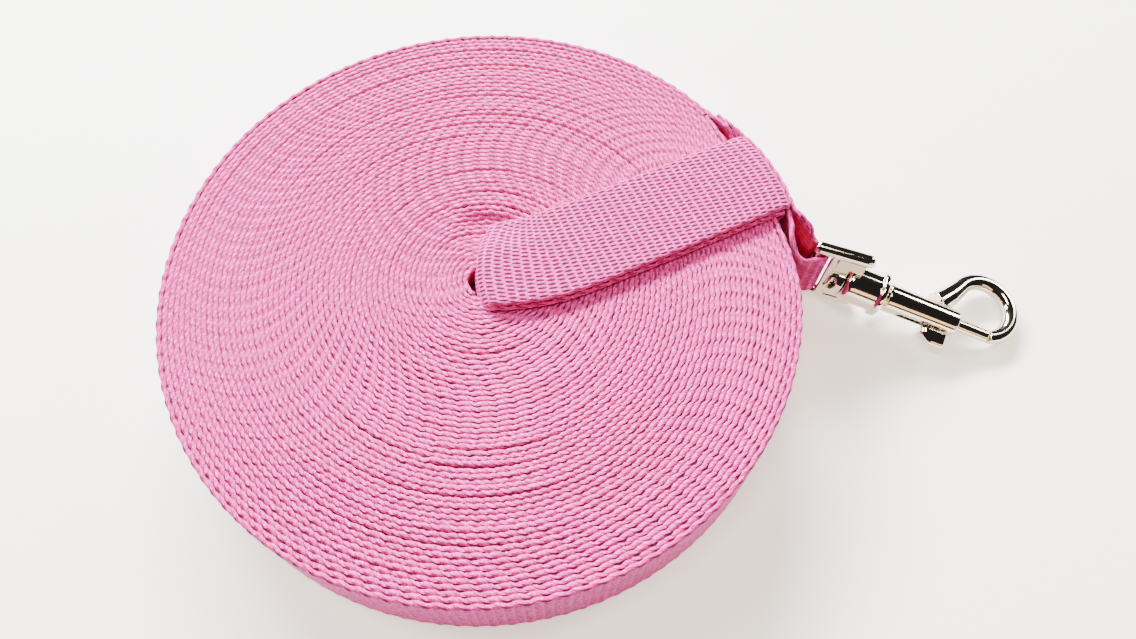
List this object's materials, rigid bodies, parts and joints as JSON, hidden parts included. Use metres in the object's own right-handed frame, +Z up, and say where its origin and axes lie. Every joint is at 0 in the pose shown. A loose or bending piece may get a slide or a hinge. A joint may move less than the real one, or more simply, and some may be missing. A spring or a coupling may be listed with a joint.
{
  "type": "training leash",
  "caption": "Long webbing training leash wound flat on its edge, with a hand loop laid across the coil and a swivel bolt snap at the outer end.",
  "frame": {"origin": "centre of the coil's underside, on the table", "axes": "+Z up along the coil's axis; +X across the coil towards the side where the snap comes off; +Y away from the viewer"},
  "size_m": [0.2253, 0.16, 0.0276],
  "materials": {
    "webbing": "soft ribbed nylon webbing, pale pink with plum flecks",
    "stitching": "bar-tack thread, pink",
    "snap_metal": "bright nickel plate over a casting",
    "spring_steel": "bare spring wire"
  },
  "bodies": {
    "webbing": {"webbing_coil": "webbing", "hand_loop_lower_ply": "webbing", "hand_loop_upper_ply": "webbing", "snap_end_outer_ply": "webbing", "snap_end_inner_ply": "webbing", "bar_tack_1": "stitching", "bar_tack_2": "stitching", "bar_tack_3": "stitching"},
    "eye": {"swivel_eye": "snap_metal"},
    "hook": {"hook_body": "snap_metal", "swivel_stud": "snap_metal", "bolt_spring": "spring_steel"},
    "bolt": {"bolt_pin": "snap_metal", "thumb_knob": "snap_metal"}
  },
  "joints": [
    {"name": "bight_turn", "type": "hinge", "parent": "webbing", "child": "eye", "pos_m": [0.08689, 0.01234, 0.0123], "axis": [0, 0, 1], "range_deg": [-20, 20]},
    {"name": "swivel_spin", "type": "hinge", "parent": "eye", "child": "hook", "pos_m": [0.1069, 0.0058, 0.0085], "axis": [0.9366, -0.3043, -0.1736], "continuous": true},
    {"name": "bolt_slide", "type": "slide", "parent": "hook", "child": "bolt", "axis": [-0.9366, 0.3043, 0.1736], "range_m": [0, 0.0097], "stiffness_N_per_m": 400, "springref_m": -0.01, "deforming": ["bolt_spring"]}
  ]
}
